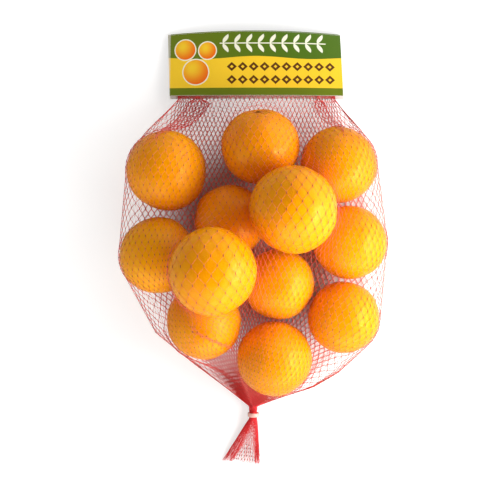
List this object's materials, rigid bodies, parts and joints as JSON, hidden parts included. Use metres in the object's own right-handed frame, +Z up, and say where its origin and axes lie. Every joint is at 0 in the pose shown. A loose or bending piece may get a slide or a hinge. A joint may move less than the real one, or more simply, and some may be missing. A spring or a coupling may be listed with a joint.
{
  "type": "net of oranges",
  "caption": "Knitted net bag full of round oranges, lying flat, with a folded paper header at one end and a gathered, clipped tail at the other.",
  "frame": {"origin": "on the floor under the middle of the lying bag, halfway along its length and width", "axes": "+Y along the bag towards the header, +X to the right seen from above, +Z up"},
  "size_m": [0.2341, 0.3933, 0.1225],
  "materials": {
    "net": "fine knitted red plastic net, open mesh over orange peel",
    "peel": "waxy orange peel with fine pores",
    "header_card": "coated printed paper in green and yellow fields",
    "neck_clip": "pale crimped strip"
  },
  "bodies": {
    "root": {"net_bag": "net", "header_card": "header_card", "neck_clip": "neck_clip"}
  },
  "joints": []
}
